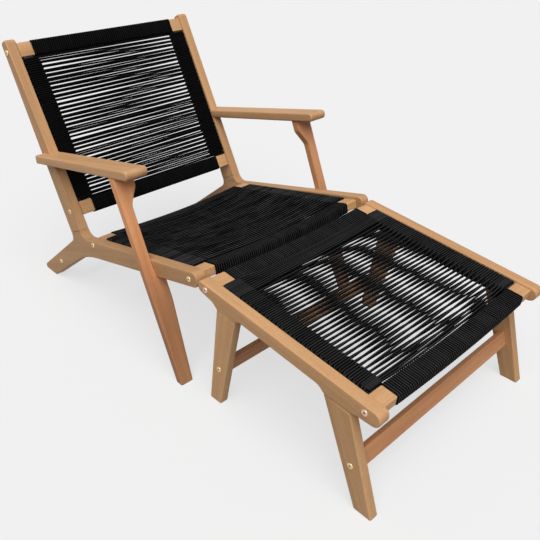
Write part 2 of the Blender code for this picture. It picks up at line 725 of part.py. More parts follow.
def wrapped_rail(name, start, dish, frame, body):
    """A cross rail with square ends, a rebated, dished core between them and the cord round it."""
    end = start + PANEL_RAIL_WIDTH
    rail_half = INNER_X - GAP
    core_low = (start + RAIL_REBATE, -PANEL_RAIL_DEPTH + RAIL_REBATE)
    core_high = (end - RAIL_REBATE, -RAIL_REBATE)
    core_half = WRAP_HALF + GAP + RAIL_CORE_BITE
    rail = add_part(name, dished_bar_mesh("rail", core_half, core_low, core_high, dish, frame), body, wood)
    for side, sign in SIDES:
        xs = sorted((sign * (WRAP_HALF + GAP), sign * rail_half))
        end_mesh = block_mesh("rail_end", (xs[0], start, -PANEL_RAIL_DEPTH), (xs[1], end, 0),
                              frame, BAR_CHAMFER)
        cut(rail, add_cutter(name + "_end_" + side, end_mesh, body), "UNION")
    wrap = add_part(name + "_wrap", ribbed_wrap_mesh("wrap", core_low, core_high, dish, frame), body, cord)
    bore_low = (core_low[0] - GAP, core_low[1] - GAP)
    bore_high = (core_high[0] + GAP, core_high[1] + GAP)
    bore_mesh = dished_bar_mesh("wrap_bore", core_half, bore_low, bore_high, dish, frame)
    cut(wrap, add_cutter(name + "_wrap_bore", bore_mesh, body))
    return rail


def cord_panel(prefix, rail_names, a_line, body, sag=0.0, dish=0.0):
    """Two cross rails, two stiles, the cord round the stiles and the cord round each rail."""
    frame = lying_frame(a_line)
    stile_top = -STILE_RECESS
    stile_bottom = stile_top - STILE_THICKNESS
    rails = {}
    for rail_name, start in zip(rail_names, (0.0, PANEL_LENGTH - PANEL_RAIL_WIDTH)):
        rails[rail_name] = wrapped_rail(prefix + "_" + rail_name + "_rail", start, dish, frame, body)
    stile_start = PANEL_RAIL_WIDTH + GAP
    stile_end = PANEL_LENGTH - stile_start
    middle_n = (stile_top + stile_bottom) / 2
    for side, sign in SIDES:
        xs = sorted((sign * STILE_INNER_X, sign * STILE_OUTER_X))
        stile_mesh = block_mesh("stile", (xs[0], stile_start, stile_bottom), (xs[1], stile_end, stile_top),
                                frame, STILE_CHAMFER, 1)
        stile = add_part(prefix + "_stile_" + side, stile_mesh, body, wood)
        middle_x = sum(xs) / 2
        for fit, grow in (("tenon", 0.0), ("mortise", GAP)):
            low = (middle_x - TENON_WIDTH / 2 - grow, PANEL_RAIL_WIDTH - TENON_LENGTH - grow,
                   middle_n - TENON_THICKNESS / 2 - grow)
            high = (middle_x + TENON_WIDTH / 2 + grow, PANEL_LENGTH - low[1],
                    middle_n + TENON_THICKNESS / 2 + grow)
            shape = add_cutter(prefix + "_" + fit + "_" + side, block_mesh(fit, low, high, frame), body)
            if fit == "tenon":
                cut(stile, shape, "UNION")
            else:
                for rail in rails.values():
                    cut(rail, shape)
    points = winding_points(sag)
    add_part(prefix + "_cord_winding", wound_cord_mesh("winding", points, frame), body, cord)
    print(prefix, "winding: least gap to itself", round(least_gap(points, CORD_RADIUS) * 1000, 2), "mm")
    return rails


def rail_bolt_point(a_line, start, shift=0.0):
    """Side-view point midway along a panel rail's width, at the depth of its bolts."""
    middle = shifted(a_line, -RAIL_BOLT_DEPTH)
    return along(middle, start + PANEL_RAIL_WIDTH / 2 + shift)


far_rail = PANEL_LENGTH - PANEL_RAIL_WIDTH

footrest_panel = shifted(footrest_top, -FOOTREST_PANEL_RECESS)
footrest_panel = along(footrest_panel, FOOTREST_PANEL_SETBACK), footrest_panel[1]
rails = cord_panel("footrest", ("front", "rear"), footrest_panel, footrest, FOOTREST_SAG, RAIL_DISH)
fasten("footrest_front_rail", rail_bolt_point(footrest_panel, 0), footrest_rails,
       rails["front"], footrest)
fasten("footrest_rear_rail", rail_bolt_point(footrest_panel, far_rail), footrest_rails,
       rails["rear"], footrest)

seat_front_edge = meet(seat_top, upright(chair_nose + SEAT_PANEL_SETBACK))
seat_front_edge -= Vector((0, SEAT_PANEL_RECESSES[0]))
seat_rear_edge = along(seat_top, SEAT_PANEL_SETBACK + PANEL_LENGTH)
seat_rear_edge -= Vector((0, SEAT_PANEL_RECESSES[1]))
seat_panel = line(*seat_front_edge, *(seat_rear_edge - seat_front_edge))
rails = cord_panel("seat", ("front", "rear"), seat_panel, chair, SEAT_SAG, RAIL_DISH)
fasten("seat_front_rail", rail_bolt_point(seat_panel, 0, SEAT_FRONT_BOLT_SHIFT), side_frames,
       rails["front"], chair)
fasten("seat_rear_rail", rail_bolt_point(seat_panel, far_rail), side_frames,
       rails["rear"], chair)

back_panel = shifted(post_front, -BACK_PANEL_RECESS)
back_panel = along(back_panel, BACK_PANEL_RISE), back_panel[1]
rails = cord_panel("back", ("bottom", "top"), back_panel, chair)
fasten("back_bottom_rail", rail_bolt_point(back_panel, 0), back_posts, rails["bottom"], chair)
fasten("back_top_rail", rail_bolt_point(back_panel, far_rail), back_posts, rails["top"], chair)


# Stretchers between the legs
def stretcher(name, middle, direction, half_length, side_pieces, body):
    """A flat bar across, its wide face along a side-view direction, bolted at both ends."""
    frame = lying_frame((middle, direction))
    mesh = block_mesh("stretcher", (-half_length, -STRETCHER_HEIGHT / 2, -STRETCHER_DEPTH / 2),
                      (half_length, STRETCHER_HEIGHT / 2, STRETCHER_DEPTH / 2), frame, BAR_CHAMFER)
    bar = add_part(name, mesh, body, wood)
    fasten(name, middle, side_pieces, bar, body)


def between(first_edge, second_edge, height):
    """Point midway between two edges at a height, and their mean direction."""
    level = sloping(0, height, 0)
    middle = (meet(first_edge, level) + meet(second_edge, level)) / 2
    return middle, (first_edge[1] + second_edge[1]).normalized()


for end, edges in leg_edges.items():
    stretcher("footrest_" + end + "_stretcher", *between(*edges, FOOTREST_STRETCHER_HEIGHT),
              FOOTREST_LEG_INNER_X - GAP, footrest_legs[end], footrest)
stretcher("rear_stretcher", *between(rear_leg_top, rear_leg_underside, REAR_STRETCHER_HEIGHT),
          INNER_X - GAP, side_frames, chair)
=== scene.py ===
"""Looks of the lounge chair with footrest: oiled wood, wound black cord, plated bolts, pale studio floor.

Metres, +Z up, the front faces -Y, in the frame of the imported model.
"""
import math

import bmesh
import bpy
import numpy as np
from mathutils import Matrix, Vector


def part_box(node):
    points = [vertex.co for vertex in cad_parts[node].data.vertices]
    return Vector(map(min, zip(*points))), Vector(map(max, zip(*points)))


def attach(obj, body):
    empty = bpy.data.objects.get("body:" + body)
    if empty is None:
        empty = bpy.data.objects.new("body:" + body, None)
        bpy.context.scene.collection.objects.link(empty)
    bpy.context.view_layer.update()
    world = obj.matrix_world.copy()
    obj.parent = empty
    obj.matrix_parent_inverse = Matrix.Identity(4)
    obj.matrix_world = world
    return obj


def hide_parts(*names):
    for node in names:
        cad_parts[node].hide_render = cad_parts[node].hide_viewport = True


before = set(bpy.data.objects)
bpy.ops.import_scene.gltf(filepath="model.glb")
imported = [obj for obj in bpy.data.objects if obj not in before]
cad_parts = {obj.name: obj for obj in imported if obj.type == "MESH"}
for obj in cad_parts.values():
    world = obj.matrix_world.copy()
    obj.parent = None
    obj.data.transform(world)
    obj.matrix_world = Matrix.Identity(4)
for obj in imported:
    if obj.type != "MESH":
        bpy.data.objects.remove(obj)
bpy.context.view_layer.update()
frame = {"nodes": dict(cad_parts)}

# Sizes of the cord panels
PANEL_LENGTH = 0.520
RAIL_WIDTH = 0.041
RAIL_DEPTH = 0.025
RAIL_REBATE = 0.0024
RAIL_DISH = 0.010
BOLT_DEPTH = 0.011

# Clearance between pieces that are seated on each other
SEAT_GAP = 0.0003

# Sizes of the cord: round where it spans free, flatter where it is wound round wood
STRAND_RADIUS = 0.0029
STRAND_UNEVENNESS = 0.00035
BAND_HALF_WIDTH = 0.0031
BAND_HALF_HEIGHT = 0.0021
FLATTEN_RUN = 0.012
CORNER_ROUND = 0.0045
BATTEN_WIDTH = 0.0110
REAR_SINK = 0.0020
WRAP_TURNS = 71
WRAP_HALF_HEIGHT = 0.0025
WRAP_UNEVENNESS = 0.00018

# Strands by the rails: over how many the slope tapers off, and how close the crowded ones lie
SLOPE_TAPER = 6
CROWD_PITCH = 0.00667

# Shifts of the rear runs' ends, in pitches from the ends of their front runs, and where the fan widens
FAN_OVER = (0.30, 0.65)
FAN_PITCHES = (2.60, 3.40)
FAN_PINCH = 0.75
FAN_PINCH_POWER = 14
FOOTREST_RIGHT_SHIFT = 0.02
FOOTREST_LEFT_SHIFT = 1.15
SEAT_SHIFT = 0.5
BACK_RIGHT_SHIFTS = (0.49, 0.85)
BACK_LEFT_SHIFTS = (0.71, 1.27)
BACK_SHIFT_SPREAD = 0.13
BACK_SHIFT_LIMIT = 0.24

# How far the cord hangs: the seat in a soft crease, the footrest along its dished rails
SEAT_SAG = 0.011
SEAT_SAG_POWER = 0.8
SEAT_REAR_SAG = 0.004
CREASE_SHARE = 0.6
CREASE_ROUND = 0.1025
BACK_SAG = 0.002
FOOTREST_SAG = 0.003
RAIL_REACH = 0.045
RAIL_TUCK = 0.0045
RAIL_TUCK_POWER = 6

# Fineness of the cord's meshes, and the seed of all unevenness
CORD_SIDES = 8
CORNER_STEPS = 4
FRONT_STEPS = 24
REAR_STEPS = 10
JITTER_SEED = 7

# Sizes of the small fasteners
BOLT_STEPS = 36
SHANK_RADIUS = 0.003
SOCKET_DEPTH = 0.0035
SCREW_RADIUS = 0.0034
SCREW_PROUD = 0.0004
SCREW_DEPTH = 0.0030
SCREW_TIP_RADIUS = 0.0012
SCREW_RIM = 0.0002
RECESS_DEPTH = 0.0016
SCREW_SPOTS = ((0.4192, 0.2390), (0.4022, 0.2440))

# Shading of hard edges
WELD_DISTANCE = 0.00001
WOOD_EDGE_ANGLE = math.radians(55)
LOFT_EDGE_ANGLE = math.radians(35)
FLAT_FACE_WEIGHT = 90

# Figure of the wood: how its noises are stretched along the grain and across it, and their shares
PATCHES = (1.6, 16, 16)
BANDS = (2.5, 75, 75)
STREAKS = (9, 520, 520)
PORES = (110, 1500, 1500)
FIGURE_SHARES = (0.38, 0.34, 0.28)
FIGURE_STOPS = (0.38, 0.50, 0.63)
PORE_DEPTH = 0.45
# Edges within this radius are shaded round and lightened in colour, partly as wear and partly as a painted
# highlight
EDGE_ROUND_RADIUS = 0.0018
WEAR_AND_HIGHLIGHT_SHARE = 0.35
GRAIN_OFFSET = (0.37, 0.113, 0.071)

# Wood tones: dark, middle and light of the figure, and how groups of pieces depart from them
LIGHT_TONES = ((0.48, 0.255, 0.114), (0.60, 0.332, 0.154), (0.69, 0.400, 0.198))
# A redder copy of the same wood, painted warm shade for the chair's front legs and the stretchers
SHADED_RED_TONES = ((0.47, 0.206, 0.089), (0.59, 0.268, 0.121), (0.68, 0.330, 0.155))
BLACK_TONES = ((0.005, 0.005, 0.005), (0.009, 0.008, 0.008), (0.014, 0.012, 0.011))
TONE_SHARES = {
    "side_frame": 0.90,
    "footrest_front_leg": 0.93,
    "footrest_rear_leg": 1.08,
    "_rail": 1.06,
    # The right front leg is darker as painted shade on its inner side
    "front_leg_right": 0.78,
}

# Heights between which a fading piece goes from its darker share to its lighter one: painted shade low on the
# piece, painted light towards its top
FADE_FROM = 0.12
FADE_TO = 0.45
SHADE_TO_LIGHT_SHARES = (0.73, 1.45)

# Looks of the cord: painted highlights on the crests over painted shade in the valleys and the braid's
# grooves, and streaks along the strands or the rails' turns
FIELD_HIGHLIGHT_POWER = 10.0
RAIL_HIGHLIGHT_POWER = 22.0
VALLEY_SHADE_COLOUR = (0.0008, 0.0008, 0.0008, 1.0)
BRAID_PAIRS = 4
BRAID_STEP = 0.0085
STREAKS_ACROSS = (1.6, 90.0, 90.0)
STREAKS_AROUND = (120.0, 3.0, 3.0)
RAIL_STREAKS = 0.35
CORD_SHINE = 0.02

# Metals: clean and dulled
BRASS = ((0.80, 0.62, 0.34), (0.58, 0.43, 0.22))
COPPER = ((0.80, 0.56, 0.44), (0.62, 0.40, 0.30))
# The sockets are coloured dark as painted shade inside their shallow recesses
SOCKET_SHADE = ((0.05, 0.04, 0.035), (0.02, 0.018, 0.016))
SCREW_BROWN = ((0.16, 0.12, 0.09), (0.10, 0.08, 0.06))

# Camera, fitted to pairs of points read from the photograph
CAMERA_PLACE = (-1.0245, -1.1988, 1.1106)
CAMERA_RIGHT = (0.72659, -0.68690, -0.01507)
CAMERA_UP = (0.36362, 0.36583, 0.85671)
CAMERA_BACK = (-0.58296, -0.62796, 0.51558)
CAMERA_LENS = 41.06
SENSOR = 36.0

# Stage and light
FLOOR_GREY = 0.885
FLOOR_SIZE = 60.0
FLOOR_GLOW = 0.72
FLOOR_BOUNCE = 0.18
SUN_STRENGTH = 2.90
SUN_SPREAD = math.radians(60)
SUN_FROM = (-0.42, -0.50, 1.0)
SKY_STRENGTH = 0.20

nodes = frame["nodes"]
random = np.random.default_rng(JITTER_SEED)


# Materials
class Shader:
    """A node material with a Principled shader and short ways to add to it."""

    def __init__(self, name):
        self.material = bpy.data.materials.new(name)
        self.material.use_nodes = True
        self.tree = self.material.node_tree
        self.surface = self.tree.nodes["Principled BSDF"]

    def node(self, kind, settings=None, **sockets):
        """Adds a node; a socket is given a value or another node's output."""
        made = self.tree.nodes.new("ShaderNode" + kind)
        for name, value in (settings or {}).items():
            setattr(made, name, value)
        for name, value in sockets.items():
            self.feed(made.inputs[name.replace("_", " ")], value)
        return made

    def feed(self, socket, value):
        """Links another node's output to a socket, or sets its value."""
        if isinstance(value, bpy.types.NodeSocket):
            self.tree.links.new(value, socket)
        else:
            socket.default_value = value

    def math(self, operation, first, second=0.0):
        made = self.node("Math", {"operation": operation})
        self.feed(made.inputs[0], first)
        self.feed(made.inputs[1], second)
        return made.outputs[0]

    def noise(self, vector, scale, detail=2.0, roughness=0.5):
        made = self.node("TexNoise", Vector=vector, Scale=scale, Detail=detail, Roughness=roughness)
        return made.outputs["Factor"] if "Factor" in made.outputs else made.outputs["Fac"]

    def between(self, value, low, high, to_low, to_high):
        """A value taken from one range to another, and held at its ends."""
        made = self.node("MapRange", {"clamp": True})
        for socket, given in zip(made.inputs, (value, low, high, to_low, to_high)):
            self.feed(socket, given)
        return made.outputs[0]

    def ramp(self, value, stops):
        """The colour at a value, between stops of a place and a colour each."""
        made = self.node("ValToRGB")
        self.feed(made.inputs[0], value)
        elements = made.color_ramp.elements
        while len(elements) < len(stops):
            elements.new(0.5)
        for element, (place, colour) in zip(elements, stops):
            element.position = place
            element.color = (*colour, 1.0)
        return made.outputs[0]

    def mix(self, share, first, second, blend="MIX"):
        made = self.node("Mix", {"data_type": "RGBA", "blend_type": blend})
        self.feed(made.inputs[0], share)
        self.feed(made.inputs[6], first)
        self.feed(made.inputs[7], second)
        return made.outputs[2]

    def stretched(self, vector, scale):
        """Coordinates scaled by axis, so that a noise on them is drawn out where the scale is small."""
        made = self.node("Mapping", {"vector_type": "POINT"})
        self.feed(made.inputs["Vector"], vector)
        made.inputs["Scale"].default_value = scale
        return made.outputs[0]


def wood_material(name, grain, tones, offset, fades):
    """Oiled hardwood whose grain runs along a direction; tones are dark, middle and light.

    A fading piece is darker by the floor and lighter towards its top, as painted shade low down and painted
    light higher up.
    """
    shader = Shader(name)
    coordinates = shader.node("TexCoord").outputs["Object"]
    turn = Vector(grain).rotation_difference(Vector((1, 0, 0))).to_euler()
    along_grain = shader.node("Mapping", {"vector_type": "POINT"}, Vector=coordinates)
    along_grain.inputs["Rotation"].default_value = turn
    along_grain.inputs["Location"].default_value = offset
    vector = along_grain.outputs[0]
    patches = shader.noise(shader.stretched(vector, PATCHES), 1.0, 3.0)
    bands = shader.noise(shader.stretched(vector, BANDS), 1.0, 4.0, 0.6)
    streaks = shader.noise(shader.stretched(vector, STREAKS), 1.0, 4.0, 0.65)
    pores = shader.noise(shader.stretched(vector, PORES), 1.0, 1.0)
    weighted = [shader.math("MULTIPLY", *pair) for pair in zip((patches, bands, streaks), FIGURE_SHARES)]
    figure = shader.math("ADD", shader.math("ADD", weighted[0], weighted[1]), weighted[2])
    colour = shader.ramp(figure, list(zip(FIGURE_STOPS, tones)))
    pore_mask = shader.between(pores, 0.58, 0.72, 0.0, PORE_DEPTH)
    colour = shader.mix(pore_mask, colour, (*[0.5 * part for part in tones[0]], 1.0))
    # Painted shade low on the piece and painted light towards its top
    if fades:
        height = shader.node("SeparateXYZ", Vector=coordinates).outputs[2]
        painted_fade = shader.node("MapRange", {"interpolation_type": "SMOOTHSTEP"}, Value=height)
        for socket, limit in zip(painted_fade.inputs[1:5], (FADE_FROM, FADE_TO, *SHADE_TO_LIGHT_SHARES)):
            socket.default_value = limit
        colour = shader.mix(1.0, colour, painted_fade.outputs[0], "MULTIPLY")
    rounded_normal = shader.node("Bevel", {"samples": 4}, Radius=EDGE_ROUND_RADIUS).outputs[0]
    true_normal = shader.node("NewGeometry").outputs["True Normal"]
    flatness = shader.node("VectorMath", {"operation": "DOT_PRODUCT"})
    shader.feed(flatness.inputs[0], rounded_normal)
    shader.feed(flatness.inputs[1], true_normal)
    # Lighter edges, partly wear and partly a painted highlight
    edge_wear_and_highlight = shader.between(flatness.outputs["Value"], 0.90, 0.995, WEAR_AND_HIGHLIGHT_SHARE, 0.0)
    colour = shader.mix(edge_wear_and_highlight, colour, (*[min(1.0, 1.12 * part) for part in tones[2]], 1.0))
    shader.feed(shader.surface.inputs["Base Color"], colour)
    shader.feed(shader.surface.inputs["Roughness"], shader.between(streaks, 0.3, 0.7, 0.46, 0.62))
    relief = shader.math("SUBTRACT", streaks, shader.math("MULTIPLY", pore_mask, 0.8))
    bump = shader.node("Bump", Strength=0.25, Distance=0.0003, Height=relief)
    shader.feed(bump.inputs["Normal"], rounded_normal)
    shader.feed(shader.surface.inputs["Normal"], bump.outputs[0])
    shader.surface.inputs["Specular IOR Level"].default_value = 0.3
    return shader.material


def cord_material(name, highlight_and_dust_grey, highlight_power, streak_scale, streak_depth):
    """Black braided cord; the braid follows the tubes' own coordinates, around and along.

    The crests of the strands carry a painted highlight, the valleys and the braid's grooves a painted shade,
    and some strands are lighter than others.
    """
    shader = Shader(name)
    place = shader.node("UVMap", {"uv_map": "cord"}).outputs[0]
    split = shader.node("SeparateXYZ", Vector=place)
    around = shader.math("MULTIPLY", split.outputs[0], BRAID_PAIRS * 2 * math.pi)
    along = shader.math("MULTIPLY", split.outputs[1], 2 * math.pi / BRAID_STEP)
    one_way = shader.math("SINE", shader.math("ADD", around, along))
    other_way = shader.math("SINE", shader.math("SUBTRACT", around, along))
    braid = shader.math("MAXIMUM", one_way, other_way)
    coordinates = shader.node("TexCoord").outputs["Object"]
    fuzz = shader.noise(coordinates, 1800.0, 2.0)
    wear = shader.noise(coordinates, 26.0, 3.0)
    turn = shader.math("SINE", shader.math("MULTIPLY", split.outputs[0], 2 * math.pi))
    # Painted highlight along the crest of each strand, painted shade towards its valleys
    painted_highlight_mask = shader.math("POWER", shader.math("ABSOLUTE", turn), highlight_power)
    highlight_and_dust_colour = (highlight_and_dust_grey, 1.01 * highlight_and_dust_grey, 1.02 * highlight_and_dust_grey, 1.0)
    colour = shader.mix(painted_highlight_mask, VALLEY_SHADE_COLOUR, highlight_and_dust_colour)
    # Painted shade in the grooves of the braid
    braid_groove_shade = shader.between(braid, -0.4, 0.9, 0.45, 0.0)
    colour = shader.mix(braid_groove_shade, colour, VALLEY_SHADE_COLOUR)
    streaks = shader.noise(shader.stretched(coordinates, streak_scale), 1.0, 2.0, 0.7)
    dimming = shader.between(streaks, 0.38, 0.62, streak_depth, 0.0)
    colour = shader.mix(dimming, colour, VALLEY_SHADE_COLOUR)
    dust = shader.between(wear, 0.45, 0.75, 0.0, 0.10)
    colour = shader.mix(dust, colour, highlight_and_dust_colour)
    shader.feed(shader.surface.inputs["Base Color"], colour)
    shader.feed(shader.surface.inputs["Roughness"], shader.between(fuzz, 0.3, 0.7, 0.45, 0.65))
    relief = shader.math("ADD", braid, shader.math("MULTIPLY", fuzz, 0.35))
    bump = shader.node("Bump", Strength=0.35, Distance=0.0004, Height=relief)
    shader.feed(shader.surface.inputs["Normal"], bump.outputs[0])
    shader.surface.inputs["Specular IOR Level"].default_value = CORD_SHINE
    return shader.material


def metal_material(name, colour, dull):
    """Plated steel with fine turning marks, small stains and a dulled film."""
    shader = Shader(name)
    coordinates = shader.node("TexCoord").outputs["Object"]
    stains = shader.noise(coordinates, 420.0, 3.0)
    marks = shader.noise(shader.stretched(coordinates, (4000, 900, 900)), 1.0, 2.0)
    tint = shader.mix(shader.between(stains, 0.4, 0.7, 0.0, 0.6), (*colour, 1.0), (*dull, 1.0))
    shader.feed(shader.surface.inputs["Base Color"], tint)
    shader.surface.inputs["Metallic"].default_value = 0.85
    shader.feed(shader.surface.inputs["Roughness"], shader.between(stains, 0.3, 0.7, 0.32, 0.5))
    bump = shader.node("Bump", Strength=0.12, Distance=0.0001, Height=marks)
    shader.feed(shader.surface.inputs["Normal"], bump.outputs[0])
    return shader.material


# Wood: the solids keep their shape and take grain, smooth rounds and a finish
def main_direction(name):
    """Longest direction of a node, from the spread of its corners."""
    corners = np.array([v.co for v in nodes[name].data.vertices])
    spread = np.cov((corners - corners.mean(0)).T)
    return Vector(np.linalg.eigh(spread)[1][:, -1])


def smooth_rounds(piece):
    """Joins the loose facets, keeps hard edges and shades the rounds smooth."""
    mesh = piece.data
    if "custom_normal" in mesh.attributes:
        mesh.attributes.remove(mesh.attributes["custom_normal"])
    mesh.polygons.foreach_set("use_smooth", np.ones(len(mesh.polygons), bool))
    weld = piece.modifiers.new("weld", "WELD")
    weld.merge_threshold = WELD_DISTANCE
    split = piece.modifiers.new("hard_edges", "EDGE_SPLIT")
    split.split_angle = WOOD_EDGE_ANGLE
    weighted = piece.modifiers.new("flat_faces", "WEIGHTED_NORMAL")
    weighted.weight = FLAT_FACE_WEIGHT


def is_wood(name):
    return not any(word in name for word in ("bolt", "wrap", "winding"))


def wood_tones(name):
    """The stiles are black; the chair's front legs and all stretchers take a redder copy of the wood as
    painted warm shade.
    """
    if "stile" in name:
        return BLACK_TONES
    shaded_red = name.startswith("front_leg") or "stretcher" in name
    tones = SHADED_RED_TONES if shaded_red else LIGHT_TONES
    share = next((value for word, value in TONE_SHARES.items() if word in name), 1.0)
    return [tuple(share * part for part in tone) for tone in tones]


def finish_wood():
    """Gives each wooden solid a material of its own, with its grain along the piece."""
    for index, name in enumerate(sorted(filter(is_wood, nodes))):
        offset = [index * part for part in GRAIN_OFFSET]
        fades = name.startswith("front_leg")
        material = wood_material("wood_" + name, main_direction(name), wood_tones(name), offset, fades)
        nodes[name].data.materials.clear()
        nodes[name].data.materials.append(material)
        smooth_rounds(nodes[name])


# Meshes through rings of points
def lofted(name, rings, dark_from=None):
    """Closed mesh through rings of equal counts; from band dark_from on it takes the second material."""
    shape = bmesh.new()
    loops = [[shape.verts.new(point) for point in ring] for ring in rings]
    count = len(loops[0])
    for band, (first, second) in enumerate(zip(loops, loops[1:])):
        for index in range(count):
            after = (index + 1) % count
            face = shape.faces.new((first[index], first[after], second[after], second[index]))
            face.material_index = int(dark_from is not None and band >= dark_from)
    shape.faces.new(loops[0])
    shape.faces.new(loops[-1]).material_index = int(dark_from is not None)
    bmesh.ops.recalc_face_normals(shape, faces=shape.faces)
    mesh = bpy.data.meshes.new(name)
    shape.to_mesh(mesh)
    shape.free()
    mesh.polygons.foreach_set("use_smooth", np.ones(len(mesh.polygons), bool))
    mesh.set_sharp_from_angle(angle=LOFT_EDGE_ANGLE)
    return mesh


# Cord tubes
class Cord:
    """A path of points with the half width and half height of the cord at each of them."""

    def __init__(self):
        self.points = []
        self.half_widths = []
        self.half_heights = []

    def add(self, point, half_width, half_height):
        self.points.append(point)
        self.half_widths.append(half_width)
        self.half_heights.append(half_height)


def tube(cord, across):
    """Corners, faces and (around, along) coordinates of a closed-ended tube with an oval section.

    The width of the section lies along the direction across, as far as the path allows.
    """
    points = np.array(cord.points)
    count = len(points)
    travelled = np.concatenate([[0.0], np.cumsum(np.linalg.norm(np.diff(points, axis=0), axis=1))])
    tangents = np.gradient(points, axis=0)
    tangents /= np.linalg.norm(tangents, axis=1)[:, None]
    sides = np.array(across) - tangents * (tangents @ np.array(across))[:, None]
    sides /= np.linalg.norm(sides, axis=1)[:, None]
    ups = np.cross(tangents, sides)
    angles = np.arange(CORD_SIDES) * 2 * math.pi / CORD_SIDES
    wide = np.outer(cord.half_widths, np.cos(angles))
    high = np.outer(cord.half_heights, np.sin(angles))
    rings = points[:, None] + wide[..., None] * sides[:, None] + high[..., None] * ups[:, None]
    ring = np.arange(count - 1)[:, None] * CORD_SIDES
    spot = np.arange(CORD_SIDES)[None, :]
    after = (spot + 1) % CORD_SIDES
    near, near_after = ring + spot, ring + after
    quads = np.stack([near, near_after, near_after + CORD_SIDES, near + CORD_SIDES], -1).reshape(-1, 4)
    around = np.broadcast_to(spot / CORD_SIDES, near.shape)
    around_after = around + 1 / CORD_SIDES
    start = np.broadcast_to(travelled[:-1, None], near.shape)
    end = np.broadcast_to(travelled[1:, None], near.shape)
    corner_pairs = ((around, start), (around_after, start), (around_after, end), (around, end))
    uv = [np.stack(pair, -1) for pair in corner_pairs]
    first_cap = np.arange(CORD_SIDES)[::-1]
    last_cap = np.arange(CORD_SIDES) + (count - 1) * CORD_SIDES
    return rings.reshape(-1, 3), quads, np.stack(uv, 2).reshape(-1, 2), (first_cap, last_cap)


def cord_piece(name, cords, across, matrix, material):
    """One object made of the tubes along several cords, placed by a matrix."""
    corners, faces, uvs = [], [], []
    base = 0
    for cord in cords:
        tube_corners, quads, corner_uv, caps = tube(cord, across)
        corners.append(tube_corners)
        faces += (quads + base).tolist()
        uvs.append(corner_uv)
        for cap in caps:
            faces.append((cap + base).tolist())
            uvs.append(np.zeros((len(cap), 2)))
        base += len(tube_corners)
    mesh = bpy.data.meshes.new(name)
    mesh.from_pydata(np.concatenate(corners).tolist(), [], faces)
    layer = mesh.uv_layers.new(name="cord")
    layer.data.foreach_set("uv", np.concatenate(uvs).astype(np.float32).ravel())
    mesh.polygons.foreach_set("use_smooth", np.ones(len(mesh.polygons), bool))
    mesh.transform(matrix)
    mesh.materials.append(material)
    mesh.update()
    piece = bpy.data.objects.new(name, mesh)
    bpy.context.scene.collection.objects.link(piece)
    return piece


def corner_arc(centre, radius, quarter):
    """Points round one corner of a loop; quarter 0 runs from the top to +u, then clockwise."""
    points = []
    for step in range(CORNER_STEPS + 1):
        angle = math.pi / 2 - (quarter + step / CORNER_STEPS) * math.pi / 2
        points.append((centre[0] + radius * math.cos(angle), centre[1] + radius * math.sin(angle)))
    return points


def rounded_loop(half_u, half_v, corner):
    """Points round a rectangle with round corners, from the middle of its underside by -u, the top and +u."""
    points = [(0.0, -half_v)]
    for quarter, (u, v) in ((2, (-1, -1)), (3, (-1, 1)), (0, (1, 1)), (1, (1, -1))):
        points += corner_arc((u * (half_u - corner), v * (half_v - corner)), corner, quarter)
    return points


# Places of the panels, from their bolts and stiles
class Panel:
    """Frame of a cord panel: x across, t from its first rail to its second, n out of its face."""

    def __init__(self, name, first_rail, second_rail, body, dish):
        self.name = name
        self.rails = (name + "_" + first_rail + "_rail", name + "_" + second_rail + "_rail")
        self.body = body
        self.dish = dish
        across = Vector((1, 0, 0))
        bolts = [sum(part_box(rail + "_bolt_right"), Vector()) / 2 for rail in self.rails]
        bolts = [bolt - across * bolt.x for bolt in bolts]
        along = (bolts[1] - bolts[0]).normalized()
        out = across.cross(along)
        origin = bolts[1] - along * (PANEL_LENGTH - RAIL_WIDTH / 2) + out * BOLT_DEPTH
        self.matrix = Matrix.Translation(origin) @ Matrix((across, along, out)).transposed().to_4x4()
        inside = self.matrix.inverted()
        corners = np.array([inside @ v.co for v in nodes[name + "_stile_right"].data.vertices])
        reach = SEAT_GAP + BAND_HALF_HEIGHT
        self.inner_x = corners[:, 0].min() - reach - BATTEN_WIDTH
        self.outer_x = corners[:, 0].max() + reach
        self.top_n = corners[:, 2].max() + reach
        self.bottom_n = corners[:, 2].min() - reach
        self.rear_n = self.bottom_n - REAR_SINK
        self.stile_low, self.stile_high = corners.min(0), corners.max(0)
        self.wrap_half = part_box(self.rails[0] + "_wrap")[1].x


class Winding:
    """Where the strands of a panel run and how far both layers hang.

    The front runs rise to the right by a slope, and some crowd together by the first and the last rail. The
    ends of the rear runs are given in pitches from the ends of their front runs, and each rear run leads to
    the strand that lies some starts further on.
    """

    def __init__(self, panel, count, first, pitch, slope, starts, rear_shifts, front_drop, rear_drop,
                 crowded=(0, 0)):
        numbers = np.arange(count)
        self.count = count
        nearest = RAIL_WIDTH + 2 * WRAP_HALF_HEIGHT - RAIL_REBATE + STRAND_RADIUS + SEAT_GAP
        self.middle = np.clip(first + numbers * pitch, nearest, PANEL_LENGTH - nearest)
        at_first, at_last = crowded
        self.middle[:at_first] = nearest + CROWD_PITCH * np.arange(at_first)
        self.middle[count - at_last:] = PANEL_LENGTH - nearest - CROWD_PITCH * np.arange(at_last)[::-1]
        taper = np.minimum(1, np.minimum(numbers + 1, count - numbers) / SLOPE_TAPER)
        self.rise = slope * taper
        self.starts = starts
        self.front_drop = front_drop
        self.rear_drop = rear_drop
        right, left = rear_shifts(numbers / (count - 1))
        self.rear_right = self.front(numbers, panel.inner_x) + right * pitch
        self.rear_left = self.front(numbers, -panel.inner_x) + left * pitch
        room_above = PANEL_LENGTH - nearest - (count - 1 - starts - numbers) * 2 * STRAND_RADIUS
        self.rear_left = np.minimum(self.rear_left, room_above)

    def front(self, strand, x):
        """Place of a front run along the panel, at a place across it."""
        return self.middle[strand] + self.rise[strand] * x


